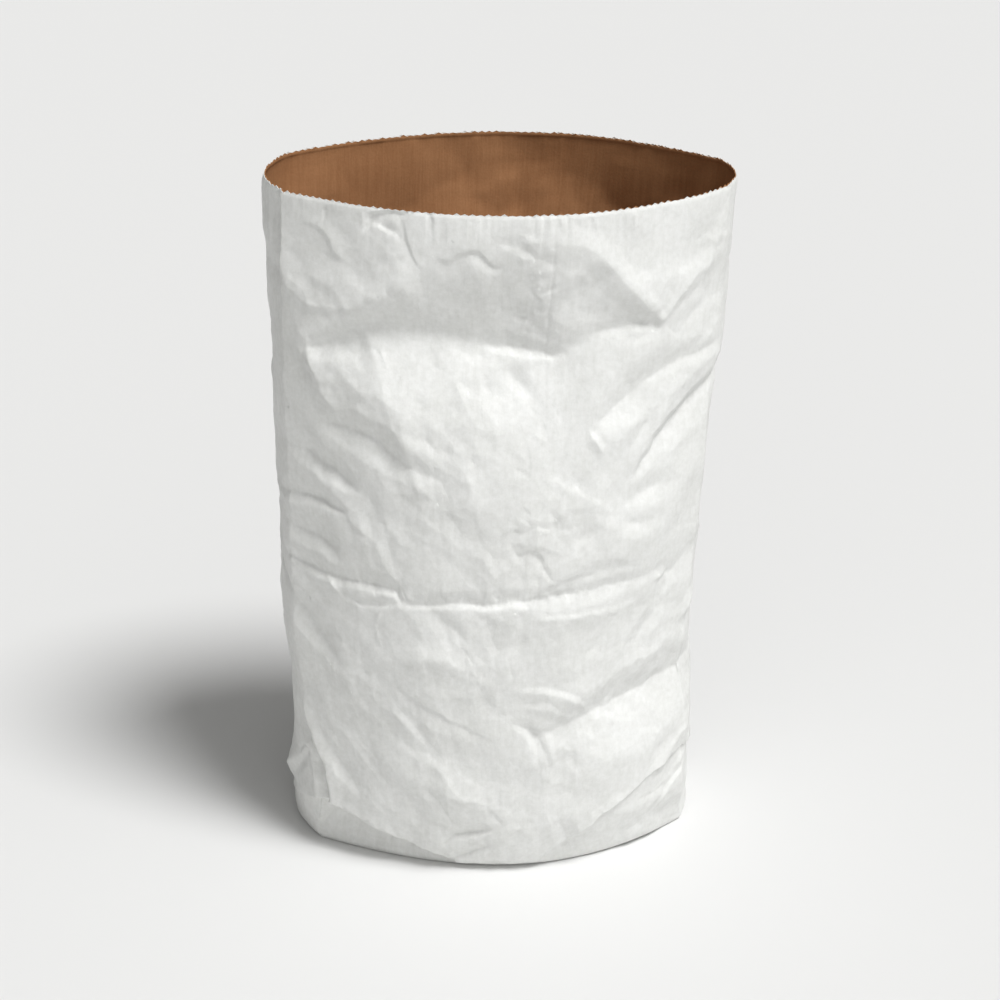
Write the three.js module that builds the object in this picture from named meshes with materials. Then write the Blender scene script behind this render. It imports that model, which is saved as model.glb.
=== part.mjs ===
import * as THREE from "three";

// An open two-ply paper sack of the size that holds ten kilograms of potatoes.
// It stands upright and has the shape that a full load gives it: round belly,
// rolled heel, side gussets pushed out, creases from folding and handling.
// Sizes are in millimetres, +Z is up, the front panel faces -Y and +X is to
// the right of a viewer in front. The base is at Z = 0, centred on the origin.

// Driving sizes.
const mouthWidth = 280;
const bellyDepth = 200;
const bagHeight = 424;
const plyThickness = 1;
const plyGap = 0.35;
const seamStep = 0.6;
const foldDepth = 13;
const foldWidth = 40;
const heelHeight = 0.06;

const halfWidth = mouthWidth / 2;
const halfDepth = bellyDepth / 2;

// Cells round the sack and up the sack.
const backCells = 16;
const gussetCells = 6;
const wallRows = 25;
const baseRings = 2;

// The lengthwise glued lap of the outer ply, as shares of the front panel.
const seamLine = 0.6;
const seamBandStart = 0.46;
const seamEdge = 0.012;
const seamBottom = 0.08;
const cellsLeftOfSeam = 13;
const cellsRightOfSeam = 8;

// Sections from the floor to the mouth. Heights are shares of the bag height,
// left and right reaches are shares of the half width, front and back reaches
// and the half gussets are shares of the half depth. The insets say how far
// the corner creases stand inside the side reach, in shares of the half width.
// Fullness is the power of the panel bulge: higher is more box-like.
const sections = [
  { height: 0.0, left: 0.9, right: 0.85, front: 0.83, back: 0.8,
    gussetLeft: 0.36, gussetRight: 0.3, insetLeft: 0.045, insetRight: 0.03, fullness: 1.85 },
  { height: 0.012, left: 0.935, right: 0.87, front: 0.88, back: 0.86,
    gussetLeft: 0.39, gussetRight: 0.34, insetLeft: 0.055, insetRight: 0.035, fullness: 1.95 },
  { height: 0.035, left: 0.965, right: 0.885, front: 0.93, back: 0.9,
    gussetLeft: 0.44, gussetRight: 0.4, insetLeft: 0.065, insetRight: 0.05, fullness: 2.1 },
  { height: 0.08, left: 0.97, right: 0.89, front: 0.96, back: 0.94,
    gussetLeft: 0.5, gussetRight: 0.46, insetLeft: 0.065, insetRight: 0.05, fullness: 2.25 },
  { height: 0.18, left: 0.96, right: 0.88, front: 0.98, back: 0.98,
    gussetLeft: 0.52, gussetRight: 0.46, insetLeft: 0.07, insetRight: 0.05, fullness: 2.35 },
  { height: 0.33, left: 0.97, right: 0.85, front: 1.0, back: 1.0,
    gussetLeft: 0.52, gussetRight: 0.45, insetLeft: 0.07, insetRight: 0.045, fullness: 2.4 },
  { height: 0.5, left: 0.985, right: 0.885, front: 0.99, back: 0.99,
    gussetLeft: 0.5, gussetRight: 0.42, insetLeft: 0.07, insetRight: 0.035, fullness: 2.35 },
  { height: 0.65, left: 0.985, right: 0.91, front: 0.97, back: 0.97,
    gussetLeft: 0.46, gussetRight: 0.38, insetLeft: 0.07, insetRight: 0.035, fullness: 2.3 },
  { height: 0.76, left: 0.99, right: 0.955, front: 0.94, back: 0.94,
    gussetLeft: 0.43, gussetRight: 0.33, insetLeft: 0.065, insetRight: 0.035, fullness: 2.25 },
  { height: 0.88, left: 1.0, right: 0.98, front: 0.9, back: 0.89,
    gussetLeft: 0.4, gussetRight: 0.29, insetLeft: 0.08, insetRight: 0.045, fullness: 2.2 },
  { height: 1.0, left: 1.0, right: 1.0, front: 0.85, back: 0.85,
    gussetLeft: 0.38, gussetRight: 0.27, insetLeft: 0.09, insetRight: 0.045, fullness: 2.1 },
];

// Folds and dents. Each runs on one panel from (across, height) to
// (toAcross, toHeight), all shares of the panel; bow lifts its middle by a
// share of the bag height. Depth is a share of the fold depth, inward when
// positive; above and below are its widths on either side, shares of the
// fold width.
const folds = [
  // The broad dent under the mouth, with its sharp ends.
  { panel: "front", across: 0.05, height: 0.795, toAcross: 0.64, toHeight: 0.81,
    bow: 0.012, depth: 0.9, above: 0.95, below: 0.3 },
  { panel: "front", across: 0.56, height: 0.81, toAcross: 0.87, toHeight: 0.83,
    bow: 0.012, depth: 0.8, above: 0.8, below: 0.3 },
  { panel: "front", across: 0.0, height: 0.9, toAcross: 0.17, toHeight: 0.855,
    bow: -0.01, depth: -0.35, above: 0.3, below: 0.4 },
  // Slanting pulls on the left of the front panel.
  { panel: "front", across: 0.09, height: 0.695, toAcross: 0.34, toHeight: 0.635,
    bow: 0.0, depth: 0.4, above: 0.5, below: 0.35 },
  { panel: "front", across: 0.03, height: 0.655, toAcross: 0.2, toHeight: 0.6,
    bow: 0.005, depth: 0.5, above: 0.3, below: 0.35 },
  { panel: "front", across: -0.03, height: 0.595, toAcross: 0.15, toHeight: 0.565,
    bow: 0.01, depth: 0.45, above: 0.3, below: 0.35 },
  { panel: "front", across: -0.02, height: 0.535, toAcross: 0.13, toHeight: 0.5,
    bow: 0.01, depth: 0.4, above: 0.3, below: 0.35 },
  { panel: "front", across: -0.02, height: 0.43, toAcross: 0.13, toHeight: 0.325,
    bow: 0.005, depth: 0.4, above: 0.35, below: 0.35 },
  // Slanting pulls on the right of the front panel.
  { panel: "front", across: 0.99, height: 0.775, toAcross: 0.69, toHeight: 0.685,
    bow: 0.01, depth: 0.55, above: 0.4, below: 0.3 },
  { panel: "front", across: 1.03, height: 0.725, toAcross: 0.81, toHeight: 0.62,
    bow: 0.005, depth: 0.55, above: 0.3, below: 0.35 },
  // The level crease from shipping flat.
  { panel: "front", across: 0.0, height: 0.475, toAcross: 0.28, toHeight: 0.455,
    bow: 0.0, depth: 0.4, above: 0.35, below: 0.25 },
  { panel: "front", across: 0.24, height: 0.447, toAcross: 0.92, toHeight: 0.462,
    bow: 0.0, depth: 0.4, above: 0.35, below: 0.25 },
  // The long valley of the lower right.
  { panel: "front", across: 1.06, height: 0.29, toAcross: 0.58, toHeight: 0.235,
    bow: 0.008, depth: 0.65, above: 0.45, below: 0.5 },
  // The bottom folds of the front panel over the rolled heel.
  { panel: "front", across: 0.02, height: 0.14, toAcross: 0.44, toHeight: 0.03,
    bow: 0.012, depth: 0.35, above: 0.3, below: 0.3 },
  { panel: "front", across: 0.62, height: 0.035, toAcross: 1.0, toHeight: 0.16,
    bow: -0.005, depth: 0.35, above: 0.3, below: 0.3 },
  // The middle creases of the pushed-out gussets.
  { panel: "left", across: 0.5, height: 0.12, toAcross: 0.5, toHeight: 1.0,
    bow: 0.0, depth: 0.25, above: 0.3, below: 0.3 },
  { panel: "right", across: 0.5, height: 0.12, toAcross: 0.5, toHeight: 1.0,
    bow: 0.0, depth: 0.25, above: 0.3, below: 0.3 },
  { panel: "left", across: 0.1, height: 0.3, toAcross: 0.9, toHeight: 0.24,
    bow: 0.0, depth: 0.3, above: 0.5, below: 0.4 },
  { panel: "right", across: 0.1, height: 0.7, toAcross: 0.9, toHeight: 0.62,
    bow: 0.0, depth: 0.3, above: 0.5, below: 0.4 },
  // The back panel: the same shipping crease and the pulls of the load.
  { panel: "back", across: 0.04, height: 0.46, toAcross: 0.96, toHeight: 0.455,
    bow: 0.0, depth: 0.35, above: 0.35, below: 0.3 },
  { panel: "back", across: 0.12, height: 0.83, toAcross: 0.78, toHeight: 0.8,
    bow: -0.01, depth: 0.7, above: 0.9, below: 0.4 },
  { panel: "back", across: -0.02, height: 0.7, toAcross: 0.26, toHeight: 0.62,
    bow: 0.005, depth: 0.5, above: 0.4, below: 0.4 },
  { panel: "back", across: 1.02, height: 0.66, toAcross: 0.74, toHeight: 0.56,
    bow: 0.005, depth: 0.5, above: 0.4, below: 0.4 },
  { panel: "back", across: -0.03, height: 0.22, toAcross: 0.4, toHeight: 0.27,
    bow: 0.0, depth: 0.5, above: 0.5, below: 0.4 },
];

const sectionKeys = Object.keys(sections[0]).filter((key) => key !== "height");

// One cubic through the rows of the section table for each of its columns.
function sectionAt(height) {
  const last = sections.length - 1;
  let row = 0;
  while (row < last - 1 && height > sections[row + 1].height) {
    row += 1;
  }
  const low = sections[row];
  const high = sections[row + 1];
  const span = high.height - low.height;
  const share = (height - low.height) / span;
  const slopeAt = (index, key) => {
    const before = sections[Math.max(index - 1, 0)];
    const after = sections[Math.min(index + 1, last)];
    return (after[key] - before[key]) / (after.height - before.height);
  };
  const square = share * share;
  const cube = square * share;
  const section = {};
  for (const key of sectionKeys) {
    section[key] = (2 * cube - 3 * square + 1) * low[key]
      + (cube - 2 * square + share) * span * slopeAt(row, key)
      + (3 * square - 2 * cube) * high[key]
      + (cube - square) * span * slopeAt(row + 1, key);
  }
  return section;
}

// The straight run of a panel between its corner creases.
function panelRun(panel, height) {
  const section = sectionAt(height);
  if (panel === "left") {
    return bellyDepth * section.gussetLeft;
  }
  if (panel === "right") {
    return bellyDepth * section.gussetRight;
  }
  return halfWidth * (section.left + section.right - section.insetLeft - section.insetRight);
}

// How far the folds push a place of a panel inward.
function foldPush(panel, across, height) {
  const panelWidth = panelRun(panel, height);
  let push = 0;
  for (const fold of folds) {
    if (fold.panel !== panel) {
      continue;
    }
    const runX = (fold.toAcross - fold.across) * panelWidth;
    const runZ = (fold.toHeight - fold.height) * bagHeight;
    const run = Math.hypot(runX, runZ);
    const offX = (across - fold.across) * panelWidth;
    const offZ = (height - fold.height) * bagHeight;
    const along = (offX * runX + offZ * runZ) / (run * run);
    if (along <= 0 || along >= 1) {
      continue;
    }
    const upward = runX >= 0 ? 1 : -1;
    const lift = 4 * fold.bow * bagHeight * along * (1 - along);
    const away = upward * (offZ * runX - offX * runZ) / run - lift;
    const width = foldWidth * (away > 0 ? fold.above : fold.below);
    const fade = Math.pow(Math.sin(Math.PI * along), 0.7);
    push += foldDepth * fold.depth * fade * Math.exp(-(away / width) * (away / width));
  }
  return push;
}

// A place of the plain wall, before the folds push it in.
function wallPlace(panel, across, height) {
  const section = sectionAt(height);
  const leftX = -halfWidth * (section.left - section.insetLeft);
  const rightX = halfWidth * (section.right - section.insetRight);
  if (panel === "front" || panel === "back") {
    const corner = halfDepth * THREE.MathUtils.lerp(section.gussetLeft, section.gussetRight, across);
    const reach = halfDepth * section[panel];
    const bulge = 1 - Math.pow(Math.abs(2 * across - 1), section.fullness);
    const facing = panel === "front" ? -1 : 1;
    const depth = facing * (corner + (reach - corner) * bulge);
    return new THREE.Vector2(THREE.MathUtils.lerp(leftX, rightX, across), depth);
  }
  const isLeft = panel === "left";
  const halfGusset = halfDepth * (isLeft ? section.gussetLeft : section.gussetRight);
  const inset = halfWidth * (isLeft ? section.insetLeft : section.insetRight);
  const bulge = 1 - Math.pow(2 * across - 1, 2);
  const sideX = isLeft ? leftX - inset * bulge : rightX + inset * bulge;
  return new THREE.Vector2(sideX, halfGusset * (2 * across - 1));
}

// The columns round the sack, anticlockwise from the front left corner.
function wallColumns() {
  const columns = [];
  const seamEnd = seamLine + seamEdge;
  for (let cell = 0; cell <= cellsLeftOfSeam; cell += 1) {
    columns.push({ panel: "front", across: seamLine * cell / cellsLeftOfSeam });
  }
  for (let cell = 0; cell < cellsRightOfSeam; cell += 1) {
    columns.push({ panel: "front", across: seamEnd + (1 - seamEnd) * cell / cellsRightOfSeam });
  }
  for (let cell = 0; cell < gussetCells; cell += 1) {
    columns.push({ panel: "right", across: cell / gussetCells });
  }
  for (let cell = 0; cell < backCells; cell += 1) {
    columns.push({ panel: "back", across: 1 - cell / backCells });
  }
  for (let cell = 0; cell < gussetCells; cell += 1) {
    columns.push({ panel: "left", across: 1 - cell / gussetCells });
  }
  return columns;
}

// Heights of the rows: the heel rows of the section table, then even steps.
function rowHeights() {
  const heel = sections.slice(0, 4).map((section) => section.height);
  const start = heel[heel.length - 1];
  const steps = wallRows - heel.length;
  for (let step = 1; step <= steps; step += 1) {
    heel.push(start + (1 - start) * step / steps);
  }
  return heel;
}

const columns = wallColumns();
const heights = rowHeights();

// The outline of the outer face at every row, folds included.
const outerRows = heights.map((height) => {
  const places = columns.map(({ panel, across }) => wallPlace(panel, across, height));
  return places.map((place, index) => {
    const { panel, across } = columns[index];
    const before = places[(index + places.length - 1) % places.length];
    const after = places[(index + 1) % places.length];
    const inward = new THREE.Vector2(before.y - after.y, after.x - before.x).normalize();
    const push = foldPush(panel, across, height) * THREE.MathUtils.smoothstep(height, 0, heelHeight);
    return new THREE.Vector3(place.x + inward.x * push, place.y + inward.y * push, height * bagHeight);
  });
});

// Unit normals of the outer face, pointing into the sack.
const inwardNormals = outerRows.map((row, level) => row.map((place, index) => {
  const before = row[(index + row.length - 1) % row.length];
  const after = row[(index + 1) % row.length];
  const below = outerRows[Math.max(level - 1, 0)][index];
  const above = outerRows[Math.min(level + 1, outerRows.length - 1)][index];
  const round = after.clone().sub(before);
  const upward = above.clone().sub(below);
  const normal = upward.cross(round).normalize();
  if (level === 0) {
    normal.z = Math.max(normal.z, 1);
    normal.normalize();
  }
  if (level === outerRows.length - 1) {
    normal.z = 0;
    normal.normalize();
  }
  return normal;
}));

// One face of a ply: rings of the flat base, then the wall, at a given
// distance inside the outer face.
function faceRings(distance, hasSeam) {
  const rings = [];
  const wall = outerRows.map((row, level) => row.map((place, index) => {
    const { panel, across } = columns[index];
    const inBand = panel === "front" && across >= seamBandStart && across <= seamLine + seamEdge / 2;
    const raised = hasSeam && inBand && heights[level] > seamBottom ? seamStep : 0;
    const moved = place.clone().addScaledVector(inwardNormals[level][index], distance - raised);
    if (level === 0) {
      moved.z = distance;
    }
    return moved;
  }));
  for (let ring = 1; ring <= baseRings; ring += 1) {
    const share = ring / (baseRings + 1);
    rings.push(wall[0].map((place) => new THREE.Vector3(place.x * share, place.y * share, distance)));
  }
  return rings.concat(wall);
}

// A ply is the closed skin between its outer and its inner face.
function plyGeometry(outerDistance, innerDistance, hasSeam) {
  const outer = faceRings(outerDistance, hasSeam);
  const inner = faceRings(innerDistance, false);
  const positions = [];
  const indices = [];
  const count = columns.length;
  const addFace = (rings, distance, facesOut) => {
    const first = positions.length / 3;
    positions.push(0, 0, distance);
    for (const ring of rings) {
      for (const place of ring) {
        positions.push(place.x, place.y, place.z);
      }
    }
    const at = (ring, index) => first + 1 + ring * count + index % count;
    const addTriangle = (a, b, c) => {
      if (facesOut) {
        indices.push(a, b, c);
      } else {
        indices.push(a, c, b);
      }
    };
    for (let index = 0; index < count; index += 1) {
      addTriangle(first, at(0, index + 1), at(0, index));
    }
    for (let ring = 0; ring < rings.length - 1; ring += 1) {
      for (let index = 0; index < count; index += 1) {
        addTriangle(at(ring, index), at(ring, index + 1), at(ring + 1, index + 1));
        addTriangle(at(ring, index), at(ring + 1, index + 1), at(ring + 1, index));
      }
    }
    return (index) => at(rings.length - 1, index);
  };
  const outerRim = addFace(outer, outerDistance, true);
  const innerRim = addFace(inner, innerDistance, false);
  for (let index = 0; index < count; index += 1) {
    indices.push(outerRim(index), outerRim(index + 1), innerRim(index + 1));
    indices.push(outerRim(index), innerRim(index + 1), innerRim(index));
  }
  const geometry = new THREE.BufferGeometry();
  geometry.setAttribute("position", new THREE.Float32BufferAttribute(positions, 3));
  geometry.setIndex(indices);
  geometry.computeVertexNormals();
  return geometry;
}

const bleachedPaper = new THREE.MeshStandardMaterial({ color: 0xe8e9e6, roughness: 0.62, metalness: 0 });
const brownPaper = new THREE.MeshStandardMaterial({ color: 0xa9764b, roughness: 0.8, metalness: 0 });

const bag = new THREE.Group();
bag.name = "potato_bag";

const outerPly = new THREE.Mesh(plyGeometry(0, plyThickness, true), bleachedPaper);
outerPly.name = "outer_ply";
bag.add(outerPly);

const innerStart = plyThickness + plyGap;
const innerPly = new THREE.Mesh(plyGeometry(innerStart, innerStart + plyThickness, false), brownPaper);
innerPly.name = "inner_ply";
bag.add(innerPly);

export default bag;
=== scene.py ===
import bmesh
import bpy
import math
import numpy as np
from mathutils import Matrix, Vector


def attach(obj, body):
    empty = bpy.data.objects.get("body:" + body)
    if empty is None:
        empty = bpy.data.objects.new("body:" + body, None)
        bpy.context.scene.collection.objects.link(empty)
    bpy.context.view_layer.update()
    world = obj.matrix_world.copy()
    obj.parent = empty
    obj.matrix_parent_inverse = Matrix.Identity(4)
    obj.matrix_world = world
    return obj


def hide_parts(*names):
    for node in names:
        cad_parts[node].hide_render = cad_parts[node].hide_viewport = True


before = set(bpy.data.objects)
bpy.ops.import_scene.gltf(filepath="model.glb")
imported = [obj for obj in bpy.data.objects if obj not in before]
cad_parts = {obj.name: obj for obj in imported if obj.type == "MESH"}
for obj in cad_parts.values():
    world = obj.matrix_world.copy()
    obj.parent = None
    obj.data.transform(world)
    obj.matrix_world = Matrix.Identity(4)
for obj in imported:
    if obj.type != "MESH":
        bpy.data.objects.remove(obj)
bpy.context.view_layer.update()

# An open two-ply paper sack for potatoes, in the shape a full load gave it.
# Lengths are in metres unless a note says millimetres.

bag = {
    "width": 0.280,  # across the mouth
    "depth": 0.200,  # front to back at the belly
    "height": 0.424,
    "panelRun": 0.290,  # paper between the corner creases of the front and of the back
    "gussetRun": 0.076,
    "heelEase": 0.006,  # folds fade out below this height
    "leanBack": 0.009,  # the mouth's left end stands this much further back
    "rimEase": 0.060,  # the plies lie closer together above this distance from the mouth
    # height, left, right, front, back, gusset left, gusset right, inset left, inset right, fullness
    # heights are shares of the height, reaches and insets of half the width or half the depth
    "sections": [
        (0.000, 0.930, 0.848, 0.82, 0.79, 0.45, 0.29, 0.110, 0.030, 1.95),
        (0.010, 0.955, 0.868, 0.86, 0.83, 0.47, 0.32, 0.110, 0.035, 2.02),
        (0.035, 0.965, 0.868, 0.91, 0.88, 0.50, 0.38, 0.115, 0.050, 2.10),
        (0.085, 0.962, 0.868, 0.96, 0.94, 0.56, 0.46, 0.120, 0.050, 2.22),
        (0.180, 0.945, 0.874, 0.98, 0.98, 0.54, 0.46, 0.080, 0.050, 2.35),
        (0.330, 0.970, 0.850, 1.00, 1.00, 0.52, 0.45, 0.070, 0.045, 2.40),
        (0.500, 0.985, 0.885, 0.99, 0.99, 0.50, 0.42, 0.070, 0.035, 2.35),
        (0.650, 0.985, 0.910, 0.97, 0.97, 0.46, 0.38, 0.070, 0.035, 2.30),
        (0.760, 0.990, 0.955, 0.94, 0.94, 0.43, 0.33, 0.065, 0.035, 2.25),
        (0.880, 1.000, 0.980, 0.90, 0.89, 0.40, 0.29, 0.080, 0.045, 2.20),
        (1.000, 1.000, 1.000, 0.85, 0.85, 0.38, 0.27, 0.090, 0.045, 2.10),
    ],
}
bag["round"] = 2 * (bag["panelRun"] + bag["gussetRun"])
wholeTurn, wholeHeight = bag["round"] * 1000, bag["height"] * 1000  # in millimetres, for the folds
sectionTable = np.array(bag["sections"])

# Each row of a dent or fold is a place on the unrolled sheet and the shape there, in
# millimetres: across from the front left corner, height, depth (inward when positive),
# width above the line, width below it.
dentTable = {  # broad hollows and swells: roundness at the line, power of the slopes, rows
    "underMouth": (4, 1.45, [(14, 336, 0, 4, 6), (24, 340, 1.2, 5, 12), (33, 345, 3.2, 9, 20),
        (53, 352, 7, 16, 44), (79, 354, 13.6, 31, 62), (104, 351, 17.8, 51, 72), (135, 346, 19.6, 69, 78),
        (161, 343, 18.2, 72, 90), (184, 341, 15.2, 65, 110), (196, 345, 13.2, 56, 112),
        (208, 350, 11, 44, 104), (223, 354, 7.6, 27, 86), (236, 354.5, 4, 14, 52), (244, 353, 1.6, 6, 22),
        (249, 351, 0, 3, 6)]),
    "browLeft": (3, 1.5, [(14, 338, 0, 4, 4), (44, 362, -1.8, 14, 10), (75, 382, -1.8, 16, 12),
        (98, 398, 0, 8, 8)]),
    "leftBelly": (8, 1.5, [(36, 320, 0, 14, 14), (84, 306, -1.3, 28, 34), (132, 294, 0, 16, 16)]),
    "middleSwell": (3, 1.5, [(60, 146, 0, 8, 12), (90, 153, -1.7, 10, 16), (112, 153, -1.8, 10, 16),
        (138, 142, 0, 7, 10)]),
    "lowSwell": (10, 1.5, [(48, 68, 0, 18, 18), (96, 58, -2.2, 26, 24), (134, 46, 0, 14, 14)]),
    "rightSwell": (8, 1.5, [(186, 68, 0, 18, 18), (236, 82, -2.6, 26, 26), (284, 94, 0, 16, 16)]),
    "flankSwell": (8, 1.5, [(202, 210, 0, 16, 16), (244, 226, -2, 22, 22), (282, 238, 0, 16, 16)]),
    "softSlant": (2, 1.5, [(136, 337, 0, 8, 8), (155, 325, 1.4, 10, 9), (176, 308, 0, 8, 8)]),
    "hollowI": (1.5, 1.5, [(226, 244, 0, 8, 8), (248, 252, 1.7, 10, 10), (276, 253, 0, 8, 8)]),
    "hollowJ": (1.5, 1.5, [(220, 242, 0, 8, 8), (242, 233, 1.5, 9, 9), (266, 233, 0, 8, 8)]),
    "backDent": (5, 1.4, [(388, 351, 0, 6, 6), (420, 346, 5, 28, 30), (458, 342, 9.5, 50, 46),
        (500, 340, 11.5, 60, 60), (550, 342, 8.5, 44, 50), (602, 353, 0, 8, 8)]),
    "backBelly": (10, 1.5, [(416, 272, 0, 20, 20), (486, 262, -2.6, 34, 34), (556, 270, 0, 20, 20)]),
}

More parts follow.
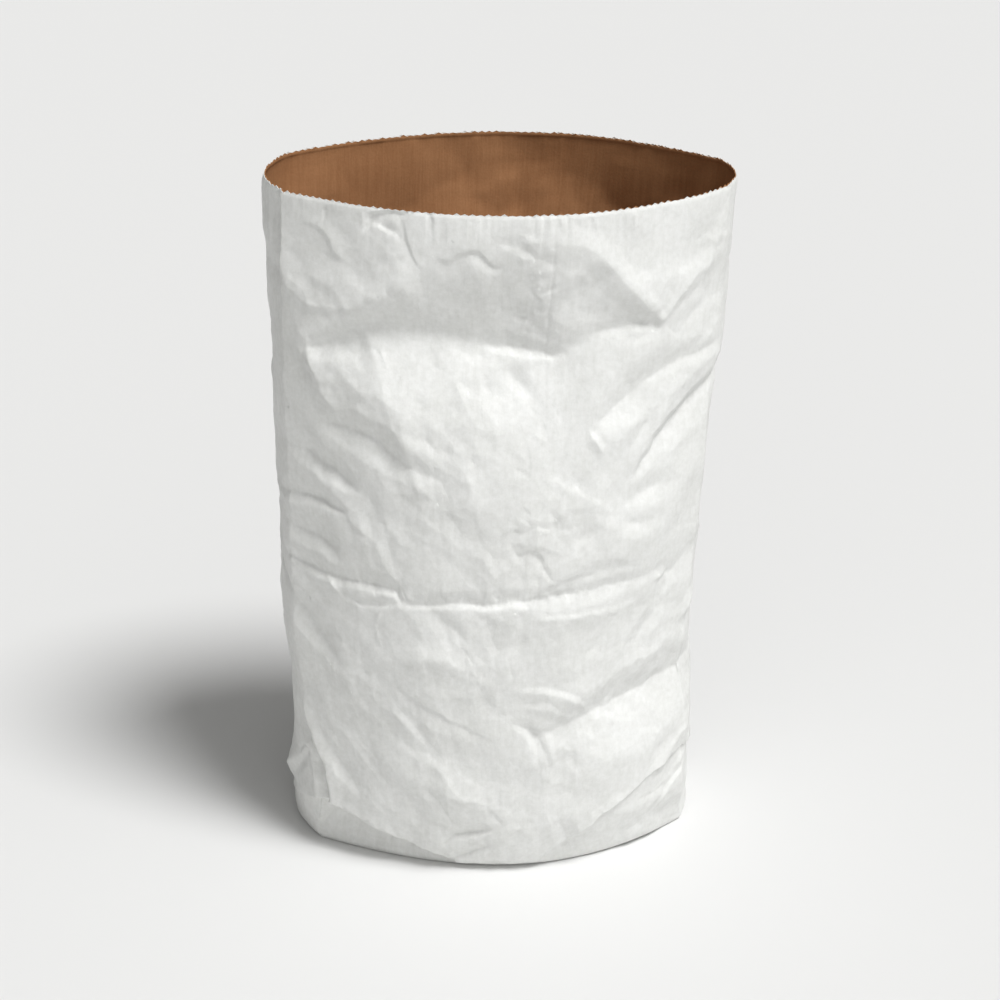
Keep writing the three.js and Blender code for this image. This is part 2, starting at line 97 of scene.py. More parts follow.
foldTable = {  # sharp folds: roundness at the line, rows
    "dentFold": (0.35, [(126, 348, 0.2, 3, 3), (135, 346, 1, 8, 4), (148, 345, 2.2, 11, 4),
        (161, 343, 2.4, 11, 4), (178, 340.5, 1.6, 8, 3), (188, 340, 0.2, 3, 2)]),
    "dentFoldHigh": (0.3, [(152, 356, 0.1, 3, 3), (164, 354, 0.8, 6, 3), (178, 350, 0.8, 6, 3),
        (184, 351, 0.1, 2, 2)]),
    "dentTipLeft": (0.6, [(16, 337, 0.4, 2, 3), (24, 339, 2, 7, 7), (38, 343, 2, 11, 9),
        (58, 350, 0.4, 10, 8)]),
    "dentTipRight": (0.35, [(206, 352, 0.2, 5, 4), (223, 354.5, 1.4, 7, 6), (236, 355, 2.2, 8, 5),
        (247, 351.5, 0.4, 3, 3)]),
    "tipRightFold": (0.3, [(222, 351, 0.1, 3, 3), (231, 347, 0.8, 4, 6), (241, 349, 0.7, 4, 5),
        (248, 352, 0.2, 2, 2)]),
    "tipRightHook": (0.3, [(247, 362, 0.1, 2, 2), (246, 356, -0.9, 5, 3), (248, 349, -0.1, 2, 2)]),
    "tipLeftEdge": (0.5, [(17, 338, -0.3, 2, 2), (22, 326, -2.2, 9, 6), (29, 312, -2.2, 12, 8),
        (42, 294, -0.3, 9, 6)]),
    "browRight": (0.7, [(160, 408, -0.2, 4, 4), (185, 407, -1, 10, 12), (200, 402, -1.7, 10, 12),
        (211, 392, -2, 10, 11), (222, 380, -2, 9, 10), (234, 368, -1.8, 8, 8), (247, 353, -0.3, 4, 4)]),
    "tipRightRise": (0.6, [(246, 354, -0.3, 3, 3), (258, 369, -2.1, 12, 7), (270, 378, -1.6, 10, 7),
        (286, 388, -0.3, 6, 6)]),
    "shoulderLeft": (0.25, [(0, 384, -0.2, 3, 3), (4, 373, -1.4, 8, 5), (12, 366, -1.9, 12, 6),
        (22, 363, -1.8, 13, 6), (31, 363, -1.4, 11, 5), (46, 365, -0.2, 4, 3)]),
    "curlLeft": (0.25, [(14, 411, -0.1, 2, 2), (24, 409, -0.7, 6, 3), (31, 404, -0.8, 7, 3),
        (36, 397, -0.8, 7, 3), (44, 393, -0.1, 2, 2)]),
    "curlLeftLow": (0.25, [(22, 398, 0.1, 3, 3), (31, 392, 0.5, 3, 6), (42, 390, 0.1, 3, 3)]),
    "rimCrumple": (0.25, [(52, 409, 0.2, 2, 2), (56, 413, 1.3, 4, 2), (60, 416, 1.6, 5, 2.4),
        (68, 414.5, 1.4, 5, 2.4), (78, 408, 0.2, 2, 2)]),
    "rimCrumpleUp": (0.25, [(56, 418, 0.2, 2, 2), (63, 420.5, 2, 2.4, 5), (71, 422, 1.8, 2.4, 5),
        (84, 423, 0.2, 2, 2)]),
    "rimCrease": (0.25, [(78, 421, 0.2, 2, 2), (79, 411, 0.9, 2, 6), (84, 399, 0.8, 2, 6),
        (92, 390, 0.1, 2, 2)]),
    "zigzagA": (0.2, [(98, 399, 0.1, 2, 3), (105, 396, 0.8, 2, 7), (113, 399, 1.1, 2, 8),
        (122, 403.5, 1.2, 2, 8), (130, 399, 1.2, 2, 7), (138, 395, 0.8, 2, 6), (146, 394, 0.1, 2, 3)]),
    "zigzagB": (0.3, [(134, 408, 0.1, 2, 2), (144, 408, 0.5, 5, 3), (153, 407, 0.6, 5, 3),
        (166, 399, 0.5, 5, 3), (180, 395, 0.1, 2, 2)]),
    "rightWrinkleA": (0.3, [(266, 393, 0.1, 2, 2), (274, 398, -0.6, 3, 5), (281, 394, -0.6, 3, 5),
        (288, 401, -0.1, 2, 2)]),
    "rightWrinkleB": (0.3, [(292, 417, -0.1, 2, 2), (286, 404, -0.6, 5, 3), (279, 388, -0.5, 5, 3),
        (272, 362, -0.1, 2, 2)]),
    # pulls from the left edge
    "pullA": (0.6, [(22, 293, 0.3, 5, 4), (40, 293.5, 2.4, 11, 12), (53, 291, 3.2, 13, 14),
        (66, 285, 3.4, 14, 14), (80, 277, 2.6, 12, 11), (100, 269, 0.3, 5, 5)]),
    "pullB": (0.4, [(0, 273, 0.5, 6, 5), (14, 273, 2.8, 11, 9), (24, 268, 3.8, 12, 9), (35, 263, 3.6, 11, 8),
        (49, 255, 0.3, 3, 3)]),
    "pullC": (0.3, [(-10, 241, 0.5, 5, 5), (4, 244, 2.6, 11, 7), (20, 244.5, 3.2, 11, 5),
        (32, 242, 2.2, 8, 3), (42, 239, 0.3, 3, 2)]),
    "pullD": (0.4, [(-6, 225, 0.5, 5, 5), (7, 222, 2.6, 11, 9), (18, 220.5, 3.2, 12, 9),
        (28, 216, 2.4, 10, 7), (36, 208, 0.3, 4, 4)]),
    "midCrease": (0.25, [(34, 247, 0.1, 2, 2), (45, 233, 0.6, 2, 7), (56, 227, 0.1, 2, 2)]),
    "slitE": (0.2, [(-24, 226, 0.4, 1.5, 3), (-19, 207, 2.6, 1.8, 7), (-12, 193, 2.8, 1.8, 7),
        (-2, 178, 0.4, 1.5, 3)]),
    "slitF": (0.2, [(-26, 168, 0.4, 1.5, 3), (-21, 148, 2.2, 1.8, 6), (-16, 128, 2.2, 1.8, 6),
        (-10, 108, 0.4, 1.5, 3)]),
    "tipC": (0.2, [(-20, 244, -0.1, 3, 2), (-12, 240, -1.2, 6, 2.4), (-2, 235, -0.2, 2, 2)]),
    "edgeLow": (0.2, [(-1, 350, 0.3, 1.8, 5), (-4, 318, 0.8, 1.8, 8), (-8, 286, 0.9, 1.8, 8),
        (-12, 254, 0.3, 1.8, 5)]),
    "edgeTop": (0.2, [(-3, 424, 2, 1.8, 10), (-2.5, 403, 2.2, 1.8, 10), (-1.5, 381, 1.8, 1.8, 9),
        (-1, 352, 0.3, 1.8, 6)]),
    "pullF": (0.6, [(-4, 183, 0.6, 6, 5), (8, 168, 4, 15, 11), (22, 151, 3.6, 14, 10), (38, 133, 0.4, 4, 4)]),
    # pulls from the right edge
    "pullG": (0.6, [(288, 330, 0.6, 5, 5), (268, 328, 3.4, 12, 14), (246, 322, 5.2, 17, 18),
        (226, 310, 5, 16, 16), (206, 292, 0.5, 3, 3)]),
    "tipG": (0.4, [(205, 295, -0.3, 2, 2), (210, 288, -1.5, 4, 7), (216, 279, -0.2, 3, 3)]),
    "pullH": (0.4, [(304, 314, 0.6, 5, 5), (286, 305, 4.2, 8, 15), (268, 293, 5, 8, 17),
        (252, 279, 3.4, 7, 13), (238, 262, 0.4, 3, 4)]),
    "faintJ": (0.4, [(170, 272, 0.1, 3, 3), (186, 264, -0.5, 3, 8), (206, 254, -0.7, 3, 9),
        (232, 238, -0.1, 3, 3)]),
    # crumples where the glued lap goes on down
    "crumpleK": (0.25, [(146, 233, 0.1, 2, 2), (155, 237, 0.7, 2, 6), (162, 236, 0.7, 2, 6),
        (171, 240, 0.6, 5, 2), (180, 238, 0.6, 4, 2), (190, 244, 0.1, 2, 2)]),
    "crumpleL": (0.25, [(153, 229, 0.1, 2, 2), (160, 221, 0.7, 2, 6), (169, 224, 0.6, 2, 5),
        (176, 216, 0.6, 2, 5), (179, 209, 0.6, 4, 2), (186, 203, 0.1, 2, 2)]),
    "crumpleM": (0.3, [(166, 221, 0.1, 2, 2), (174, 228, -0.6, 6, 3), (186, 222, -0.1, 2, 2)]),
    "crumpleN": (0.3, [(180, 250, 0.1, 2, 2), (184, 240, 0.6, 5, 3), (183, 228, 0.1, 2, 2)]),
    # the level crease from shipping flat
    "shipLeft": (0.2, [(-9, 202, 0.3, 3, 2), (7, 200.5, 2.1, 9, 4), (25, 198, 2.7, 10, 4.4),
        (38, 197, 2.3, 8, 4.4), (54, 197, 2.9, 10, 4.4), (67, 197, 3, 10, 4.4), (75, 194, 1.9, 7, 2.8),
        (79, 186, 0.2, 3, 2)]),
    "shipBright": (0.2, [(32, 188, 0.2, 2, 2), (44, 185, 0.8, 5, 2.4), (54, 184, 1, 5, 2.4),
        (67, 186, 1, 5, 2.4), (78, 190, 0.8, 4, 2.4), (90, 188, 0.2, 2, 2)]),
    "shipMiddle": (0.2, [(76, 187, 0.2, 3, 2), (90, 188, 1.5, 7, 3), (105, 189.5, 2.2, 9, 3),
        (120, 191, 2, 9, 3), (136, 190, 2.2, 9, 3.4), (154, 192, 2.3, 10, 4), (172, 193, 2.2, 9, 6),
        (186, 194, 2.4, 10, 8), (206, 195, 2.4, 12, 10), (232, 196, 1.8, 10, 9), (264, 196, 0.3, 6, 5)]),
    "shipHigh": (0.3, [(174, 196, 0.1, 2, 2), (196, 203, 1, 7, 4), (222, 207, 1.2, 8, 5),
        (246, 205, 0.1, 3, 3)]),
    "shipLow": (0.4, [(170, 181, 0.1, 2, 2), (190, 180, -0.9, 3, 9), (216, 179, -0.9, 3, 9),
        (242, 180, -0.1, 2, 3)]),
    "shipKinkA": (0.2, [(21, 202, -0.1, 2, 2), (27, 196, -0.9, 2.4, 2.4), (31, 191, -0.8, 2.4, 2.4),
        (36, 185, -0.1, 2, 2)]),
    "shipKinkB": (0.3, [(76, 196, 0.1, 2, 2), (78, 190, -0.5, 4, 3), (77, 184, -0.1, 2, 2)]),
    # the long valley of the lower right
    "valley": (0.5, [(302, 124, 0.5, 8, 8), (290, 121, 4.8, 19, 28), (272, 119, 6.4, 23, 40),
        (245, 115, 6.4, 22, 40), (218, 110, 5, 17, 32), (196, 105, 2.4, 10, 16), (174, 101, 0.4, 4, 5)]),
    "starA": (0.4, [(154, 112, 0.2, 3, 3), (164, 107, 1, 7, 4), (172, 98, 1, 6, 5), (174, 70, 0.2, 4, 4)]),
    "starRidge": (0.4, [(160, 133, -0.2, 3, 3), (182, 130, -1.5, 4, 11), (200, 124, -1.5, 4, 10),
        (214, 113, -0.2, 3, 3)]),
    "starRidgeLow": (0.4, [(164, 120, -0.1, 3, 3), (182, 119, -0.9, 4, 8), (198, 112, -0.1, 3, 3)]),
    "starDown": (0.4, [(166, 107, 0.2, 3, 3), (176, 97, 1.3, 5, 9), (182, 78, 0.2, 3, 3)]),
    "strokeA": (0.3, [(70, 133, 0.1, 2, 2), (90, 121, 0.8, 3, 9), (110, 111, 0.8, 3, 9),
        (142, 97, 0.1, 2, 3)]),
    "strokeB": (0.3, [(64, 60, 0.1, 2, 2), (76, 56, 0.7, 3, 7), (90, 52, 0.1, 2, 3)]),
    "strokeC": (0.4, [(68, 120, -0.1, 3, 3), (80, 104, -0.8, 4, 10), (98, 88, -0.1, 3, 3)]),
    "strokeD": (0.3, [(86, 40, 0.1, 2, 2), (98, 34, 0.7, 3, 7), (112, 30, 0.1, 2, 3)]),
    "facetRight": (0.5, [(298, 162, 0.3, 4, 4), (290, 149, 1.6, 10, 8), (282, 132, 0.3, 4, 4)]),
    "facetRightUp": (0.4, [(302, 174, -0.3, 4, 4), (292, 165, -1.5, 7, 6), (283, 151, -0.2, 3, 3)]),
    # the front's bottom corners
    "cornerLeft": (0.3, [(-6, 112, -0.3, 3, 2), (3, 88, -1.8, 9, 3), (12, 66, -2.6, 11, 3),
        (15, 46, -2, 9, 3), (14, 36, -0.5, 5, 2)]),
    "cornerLeftSlit": (0.2, [(-11, 136, 0.4, 1.5, 4), (-8, 112, 2.4, 1.6, 6), (-3, 90, 3.8, 1.7, 8),
        (5, 70, 5, 1.7, 9), (10, 54, 5.4, 1.7, 9), (11, 39, 4, 1.7, 8)]),
    "cornerLeftSecond": (0.2, [(-16, 92, 0.3, 1.5, 3), (-10, 74, 1.8, 1.5, 5), (-3, 58, 2, 1.5, 5),
        (-1, 38, 0.8, 1.5, 4)]),
    "cornerLeftTab": (0.2, [(-14, 54, -0.2, 2, 2), (-9, 62, -1.6, 2, 3), (-3, 73, -0.3, 2, 2)]),
    "stripNick": (0.2, [(54, 7, 0.1, 1.5, 1.5), (58, 11, 0.8, 4, 1.5), (65, 19, 0.1, 1.5, 1.5)]),
    "stripNickLeft": (0.2, [(1, 9, 0.1, 1.5, 1.5), (5, 13, 0.8, 4, 1.5), (8, 19, 0.1, 1.5, 1.5)]),
    "cornerLeftFlute": (0.6, [(12, 86, 0.3, 4, 4), (24, 66, 2.2, 11, 7), (36, 50, 0.3, 4, 4)]),
    "cornerLeftLine": (0.4, [(28, 94, -0.1, 3, 3), (42, 76, -1, 5, 9), (58, 58, -0.1, 3, 3)]),
    "cornerRight": (0.5, [(298, 88, -0.3, 4, 4), (286, 73, -1.6, 11, 8), (272, 60, -1.4, 9, 7),
        (256, 48, -0.3, 4, 4)]),
    "cornerRightFold": (0.4, [(298, 66, 0.3, 4, 4), (286, 55, 1.2, 8, 6), (272, 38, 0.3, 4, 4)]),
    "cornerRightLow": (0.3, [(298, 54, 0.2, 2, 2), (290, 48, 1.1, 6, 2.4), (281, 41, 1.4, 7, 2.6),
        (271, 31, 1, 6, 2.6), (263, 21, 0.2, 2, 2)]),
    "heelPull": (0.3, [(98, 20, 0.2, 3, 2), (110, 27, 2.8, 11, 3), (122, 29, 3, 11, 3),
        (140, 34, 0.3, 4, 2)]),
    "heelNotch": (0.3, [(104, 5, 0.4, 3, 2), (114, 10, 2.6, 8, 2.5), (126, 15, 2, 7, 2.5),
        (140, 22, 0.2, 3, 2)]),
    "heelFlute": (1, [(188, 42, 0.2, 5, 5), (195, 26, 1.8, 9, 9), (200, 10, 0.3, 5, 5)]),
    # the tucked ear on the left gusset's foot
    "ear": (0.4, [(-40, 28, -0.4, 5, 5), (-30, 36, -2.4, 8, 7), (-22, 46, -2.6, 7, 7),
        (-10, 60, -0.5, 4, 4)]),
    "earFold": (0.4, [(-3, 70, 0.3, 3, 3), (-11, 56, 2.6, 6, 6), (-20, 38, 0.3, 3, 3)]),
    "earLip": (0.3, [(-40, 22, 0.3, 3, 3), (-28, 27, 2, 5, 5), (-12, 34, 0.4, 4, 4)]),
    # side gussets
    "gussetLeft": (1.5, [(-38, 60, 0.4, 8, 8), (-38, 200, 2, 14, 14), (-38, 340, 1.6, 12, 12),
        (-38, 423, 0.2, 8, 8)]),
    "gussetRight": (1.5, [(328, 60, 0.4, 8, 8), (328, 200, 2, 14, 14), (328, 340, 1.6, 12, 12),
        (328, 423, 0.2, 8, 8)]),
    "gussetLeftLineA": (0.3, [(-12, 423, 0.3, 2, 2), (-9, 388, 1, 6, 3), (-7, 332, 0.1, 2, 2)]),
    "gussetLeftLineB": (0.3, [(-20, 424, 0.3, 2, 2), (-19, 400, 0.8, 3, 6), (-16, 366, 0.1, 2, 2)]),
    "gussetLeftPull": (0.6, [(-68, 256, 0.4, 8, 6), (-40, 236, 3.6, 17, 12), (-10, 216, 0.4, 7, 5)]),
    "gussetLeftHigh": (0.6, [(-70, 338, 0.4, 6, 6), (-46, 330, 2.8, 13, 11), (-16, 312, 0.4, 6, 6)]),
    "gussetLeftMiddle": (0.6, [(-72, 176, 0.4, 6, 6), (-48, 190, 2.6, 13, 11), (-18, 196, 0.4, 6, 6)]),
    "gussetLeftLow": (0.6, [(-70, 130, 0.4, 8, 6), (-44, 114, 3.6, 17, 12), (-12, 104, 0.4, 7, 5)]),
    "gussetRightPull": (0.6, [(300, 314, 0.8, 8, 6), (326, 292, 3.8, 17, 12), (358, 276, 0.4, 7, 5)]),
    "gussetRightMiddle": (0.6, [(302, 216, 0.4, 8, 6), (330, 206, 3, 15, 12), (358, 190, 0.4, 7, 5)]),
    "gussetRightLow": (0.6, [(308, 130, 1, 8, 8), (330, 140, 3.6, 17, 13), (360, 152, 0.4, 7, 5)]),
    "gussetRightFoot": (0.5, [(304, 74, 0.4, 5, 5), (326, 62, 2.4, 10, 8), (350, 54, 0.4, 5, 5)]),
    # the back
    "backShip": (0.35, [(380, 199, 0.4, 4, 4), (400, 196, 2, 9, 6), (434, 194, 2.4, 10, 6),
        (470, 193, 2.2, 10, 6), (506, 195, 2, 9, 6), (548, 192, 2.4, 10, 6), (600, 193, 2, 9, 6),
        (644, 196, 0.4, 4, 4)]),
    "backDentTip": (0.5, [(384, 357, 0.3, 4, 4), (404, 350, 2.6, 11, 8), (430, 347, 0.4, 7, 5)]),
    "backDentFold": (0.5, [(516, 336, 0.3, 4, 4), (552, 340, 2.2, 10, 7), (600, 353, 0.3, 4, 4)]),
    "backPullA": (0.6, [(648, 306, 0.4, 6, 5), (612, 290, 4.2, 17, 13), (582, 268, 0.4, 5, 5)]),
    "backPullB": (0.6, [(654, 266, 0.4, 6, 5), (624, 255, 3.4, 13, 11), (596, 238, 0.4, 5, 5)]),
    "backPullC": (0.6, [(368, 294, 0.4, 6, 5), (398, 278, 4.4, 17, 13), (434, 252, 0.4, 5, 5)]),
    "backPullD": (0.6, [(366, 154, 0.4, 6, 5), (396, 140, 3.8, 15, 11), (432, 112, 0.4, 5, 5)]),
    "backPullE": (0.6, [(366, 250, 0.4, 5, 5), (388, 240, 3, 12, 10), (414, 224, 0.4, 4, 4)]),
    "backValley": (0.7, [(658, 92, 0.6, 6, 6), (612, 107, 5.6, 22, 26), (564, 116, 4.8, 18, 24),
        (516, 112, 0.4, 5, 5)]),
    "backStroke": (0.4, [(446, 264, -0.1, 3, 3), (482, 252, -1, 4, 11), (520, 234, -0.1, 3, 3)]),
    "backStrokeLow": (0.4, [(470, 92, 0.1, 3, 3), (496, 78, 1, 4, 11), (520, 58, 0.1, 3, 3)]),
}

# the line where the bottom of the sack was folded up, round the sheet, in millimetres:
# across, height, how far the paper tucks in below it
bottomFold = [
    (-76, 50, 2.2), (-50, 40, 2), (-26, 24, 1.2), (-10, 30, 1.4), (0, 36, 5), (8, 38, 9.6), (20, 35, 10.5),
    (36, 31, 10), (63, 22, 8.4), (87, 15, 6.4), (112, 4, 3), (140, 4, 0.8), (170, 4, 0.8), (186, 15, 1.4),
    (203, 23, 1.8), (222, 37, 1.8), (245, 46, 1.6), (262, 56, 1.4), (290, 64, 1.2), (328, 56, 2),
    (366, 60, 2.6), (390, 46, 3.4), (430, 34, 3.6), (470, 16, 2.8), (510, 8, 1.6), (550, 18, 2.8),
    (600, 34, 3.6), (636, 44, 3.4), (656, 50, 2.2),
]

creases = {  # millimetres
    "seed": 7,
    "count": 420,
    "length": (5, 26),
    "depth": (0.06, 0.50),
    "narrow": (1.2, 2.2),  # a crease is steep on one side and wide on the other
    "wide": (4.0, 9.0),
    "crest": 0.25,  # roundness at the line
    "slope": 1.4,  # power of the slopes to both sides
    "handSlope": 1.2,
    "wander": 0.5,  # how far every sharp line strays from its drawn path
    "softWaves": 30,
    "softDepth": 0.8,
    "softLeast": 0.012,  # waves to the millimetre; longer waves are no deeper
    "streaks": 200,  # short upright lines below the mouth
    "streakLength": (6, 26),
    "streakDepth": (0.10, 0.46),
    "rimWave": 0.7,
    "rimFade": 30,
    "rimEdge": 0.5,  # the cut edge bends in by this much
    "shipBreaks": 84,  # short creases across the level shipping crease
    "shipHeight": 192,
}


def eased(t):
    return t * t * (3 - 2 * t)


def sectionAt(share):
    rises, values = sectionTable[:, 0], sectionTable[:, 1:]
    slopes = np.empty_like(values)
    slopes[1:-1] = (values[2:] - values[:-2]) / (rises[2:] - rises[:-2])[:, None]
    slopes[0] = (values[1] - values[0]) / (rises[1] - rises[0])
    slopes[-1] = (values[-1] - values[-2]) / (rises[-1] - rises[-2])
    row = np.clip(np.searchsorted(rises, share, side="right") - 1, 0, len(rises) - 2)
    span = (rises[row + 1] - rises[row])[..., None]
    t = (share[..., None] - rises[row][..., None]) / span
    return ((2 * t**3 - 3 * t**2 + 1) * values[row] + (t**3 - 2 * t**2 + t) * span * slopes[row]
            + (3 * t**2 - 2 * t**3) * values[row + 1] + (t**3 - t**2) * span * slopes[row + 1])


def plainWall(around, rise):  # the wall before any fold
    run, gusset = bag["panelRun"], bag["gussetRun"]
    halfWidth, halfDepth = bag["width"] / 2, bag["depth"] / 2
    place = np.mod(around, bag["round"])
    left, right, front, back, gapLeft, gapRight, insetLeft, insetRight, fullness = np.moveaxis(
        sectionAt(rise / bag["height"]), -1, 0)
    leftX = -halfWidth * (left - insetLeft)
    rightX = halfWidth * (right - insetRight)
    isFront = place <= run
    isRight = (place > run) & (place < run + gusset)
    onPanel = isFront | ((place >= run + gusset) & (place <= 2 * run + gusset))
    across = np.clip(np.where(isFront, place / run, 1 - (place - run - gusset) / run), 0, 1)
    corner = halfDepth * (gapLeft + (gapRight - gapLeft) * across)
    reach = halfDepth * np.where(isFront, front, back)
    bulge = 1 - np.abs(2 * across - 1) ** fullness
    side = np.where(isRight, (place - run) / gusset, 1 - (place - 2 * run - gusset) / gusset)
    sideBulge = 1 - (2 * side - 1) ** 2
    sideX = np.where(isRight, rightX + halfWidth * insetRight * sideBulge,
                     leftX - halfWidth * insetLeft * sideBulge)
    sideY = halfDepth * np.where(isRight, gapRight, gapLeft) * (2 * side - 1)
    x = np.where(onPanel, leftX + (rightX - leftX) * across, sideX)
    y = np.where(onPanel, np.where(isFront, -1, 1) * (corner + (reach - corner) * bulge), sideY)
    lean = bag["leanBack"] * np.clip(rise / bag["height"] * 4 - 3, 0, 1) ** 1.5
    return np.stack([x, y + lean * (rightX - x) / (rightX - leftX), rise], axis=-1)


def smoothRows(rows, steps=5):  # a fold's few rows made into a smooth run of them
    rows = np.array(rows, dtype=float)
    padded = np.vstack([2 * rows[0] - rows[1], rows, 2 * rows[-1] - rows[-2]])
    run = []
    for i in range(1, len(padded) - 2):
        p0, p1, p2, p3 = padded[i - 1:i + 3]
        for t in np.arange(steps) / steps:
            run.append(0.5 * (2 * p1 + (p2 - p0) * t + (2 * p0 - 5 * p1 + 4 * p2 - p3) * t**2
                              + (3 * p1 - p0 - 3 * p2 + p3) * t**3))
    run = np.array(run + [rows[-1]])
    run[:, 3:] = np.maximum(run[:, 3:], rows[:, 3:].min(axis=0))
    return run


def foldPush(around, rise, rows, crest, power):
    # around and rise are flat arrays in millimetres; the answer is a push in millimetres
    rows = np.array(rows)
    middle, reach = rows[:, 0].mean(), rows[:, 3:].max()
    across = np.mod(around - middle + wholeTurn / 2, wholeTurn) - wholeTurn / 2 + middle
    near = np.flatnonzero((across > rows[:, 0].min() - reach) & (across < rows[:, 0].max() + reach)
                          & (rise > rows[:, 1].min() - reach) & (rise < rows[:, 1].max() + reach))
    x, z = across[near], rise[near]
    best = np.full(len(near), 1e9)
    found = np.zeros((len(near), 3))
    isAbove = np.ones(len(near), dtype=bool)
    forward = 1 if rows[-1, 0] >= rows[0, 0] else -1
    for a, b in zip(rows[:-1], rows[1:]):
        runX, runZ = b[0] - a[0], b[1] - a[1]
        length = max(math.hypot(runX, runZ), 1e-6)
        t = np.clip(((x - a[0]) * runX + (z - a[1]) * runZ) / length**2, 0, 1)
        gapX, gapZ = x - a[0] - t * runX, z - a[1] - t * runZ
        gap = np.hypot(gapX, gapZ)
        closer = gap < best
        best[closer] = gap[closer]
        found[closer] = (a[2:] + t[:, None] * (b[2:] - a[2:]))[closer]
        isAbove[closer] = ((gapZ * runX - gapX * runZ) * forward > 0)[closer]
    width = np.maximum(np.where(isAbove, found[:, 1], found[:, 2]), 0.5)
    # both sides meet at one rounded crest, so no step is left along the line
    rounded = np.sqrt(best**2 + crest**2) - crest
    push = np.zeros_like(around)
    push[near] = found[:, 0] * np.clip(1 - rounded / width, 0, None) ** power
    return push


def pressed(around, rise, lines):
    return sum(foldPush(around, rise, rows, creases["crest"], creases["slope"]) for rows in lines)


def sineWave(around, rise, turns, upright, phase):
    return np.sin(2 * math.pi * (turns * around / wholeTurn + upright * rise) + phase)


def strayed(around, rise):  # lines pressed by hand are never quite straight
    chance = np.random.default_rng(creases["seed"] + 5)
    aside, up = (sum(sineWave(around, rise, chance.integers(-60, 61), chance.uniform(-1 / 13, 1 / 13),
                              chance.uniform(0, 6.3)) for _ in range(9)) for _ in range(2))
    return around + creases["wander"] * aside / 3, rise + creases["wander"] * up / 3


def handFolds(around, rise):
    return sum(foldPush(around, rise, smoothRows(rows), crest, creases["handSlope"])
               for crest, rows in foldTable.values())


def broadDents(around, rise):  # slopes are measured straight up and down
    total = np.zeros_like(around)
    for crest, power, rows in dentTable.values():
        line = smoothRows(rows)
        height, depth, above, below = (np.interp(around, line[:, 0], line[:, k]) for k in (1, 2, 3, 4))
        gap = rise - height
        steady = np.sqrt(gap**2 + crest**2) - crest
        slope = np.clip(1 - steady / np.where(gap > 0, above, below), 0, None) ** power
        total += np.where((around > line[0, 0]) & (around < line[-1, 0]), depth, 0) * slope
    return total


bottomStep = {  # how the paper runs on below that line
    "edge": 0.6,  # millimetres in which it steps in
    "start": 0.74,  # share of the tuck there
    "full": 0.22,  # share of the way down where the tuck is deepest
    "flare": 1.7,  # power of the slope back out to the floor
    "lip": 0.24,  # the folded line stands out by this share of the tuck
    "lipReach": 7,
}


def bottomTuck(around, rise):  # below the bottom fold the paper steps in, then flares to the floor
    line = np.array(bottomFold)
    place = np.mod(around + 76, wholeTurn) - 76
    height, depth = (np.interp(place, line[:, 0], line[:, k]) for k in (1, 2))
    below = height - rise
    step = 1 - np.exp(-np.clip(below, 0, None) / bottomStep["edge"])
    down = np.clip(below / np.maximum(height, 1), 0, 1)
    start, full = bottomStep["start"], bottomStep["full"]
    early = np.clip(down / full, 0, 1)
    late = np.clip((down - full) / (1 - full), 0, 1)
    hollow = np.where(down < full, start + (1 - start) * early * (2 - early), 1 - late ** bottomStep["flare"])
    lip = np.exp(-np.clip(-below, 0, None) / bottomStep["lipReach"]) * (1 - step)
    return depth * (step * hollow - bottomStep["lip"] * lip)


facets = {  # flat patches with straight edges, as paper takes from handling
    "seed": 21,
    "patches": [(22, 13, 0.10), (40, 22, 0.10), (90, 50, 0.07)],  # round the sheet, up it, slope
    "quiet": [(3, 0.004), (5, -0.007), (-7, 0.006), (9, 0.011)],  # waves of the calmer places
    "slant": 0.42,
    "calm": 0.30,  # least share of the slope left in quiet places
    "rimBand": 45,
}


def nearestSquare(x, z, sites, cells):  # squared distance to the nearest site, in cells
    column, row = np.floor(x).astype(int), np.floor(z).astype(int)
    best = np.full(x.shape, 1e9)
    for stepX in (-1, 0, 1):
        for stepZ in (-1, 0, 1):
            i, j = column + stepX, row + stepZ
            site = sites[i % cells, j % sites.shape[1]]
            best = np.minimum(best, (x - i - site[..., 0]) ** 2 + (z - j - site[..., 1]) ** 2)
    return best


def paperFacets(around, rise):
    # the difference of two such fields is flat inside every patch and bends only along lines
    chance = np.random.default_rng(facets["seed"])
    middle = 1000 * bag["panelRun"] / 2
    fromMiddle = np.abs(np.mod(around - middle + wholeTurn / 4, wholeTurn / 2) - wholeTurn / 4)
    leaning = rise - facets["slant"] * fromMiddle + 90
    quiet = sum(sineWave(around, rise, turns, upright, chance.uniform(0, 6.3))
                for turns, upright in facets["quiet"])
    strength = facets["calm"] + (1 - facets["calm"]) / (1 + np.exp(-1.6 * quiet))
    strength = strength * np.clip((wholeHeight - rise) / facets["rimBand"], 0.15, 1)
    total = np.zeros_like(around)
    for roundCells, upCells, slope in facets["patches"]:
        cell = wholeTurn / roundCells
        x, z = around / cell, leaning / (wholeHeight / upCells) if roundCells < 80 else rise / cell
        first, second = (nearestSquare(x, z, chance.uniform(0, 1, (roundCells, 64, 2)), roundCells)
                         for _ in range(2))
        total += strength * (first - second) * slope * cell * 0.7
    return total


def eitherWay(chance, first, second):
    return (first, second) if chance.uniform() < 0.5 else (second, first)


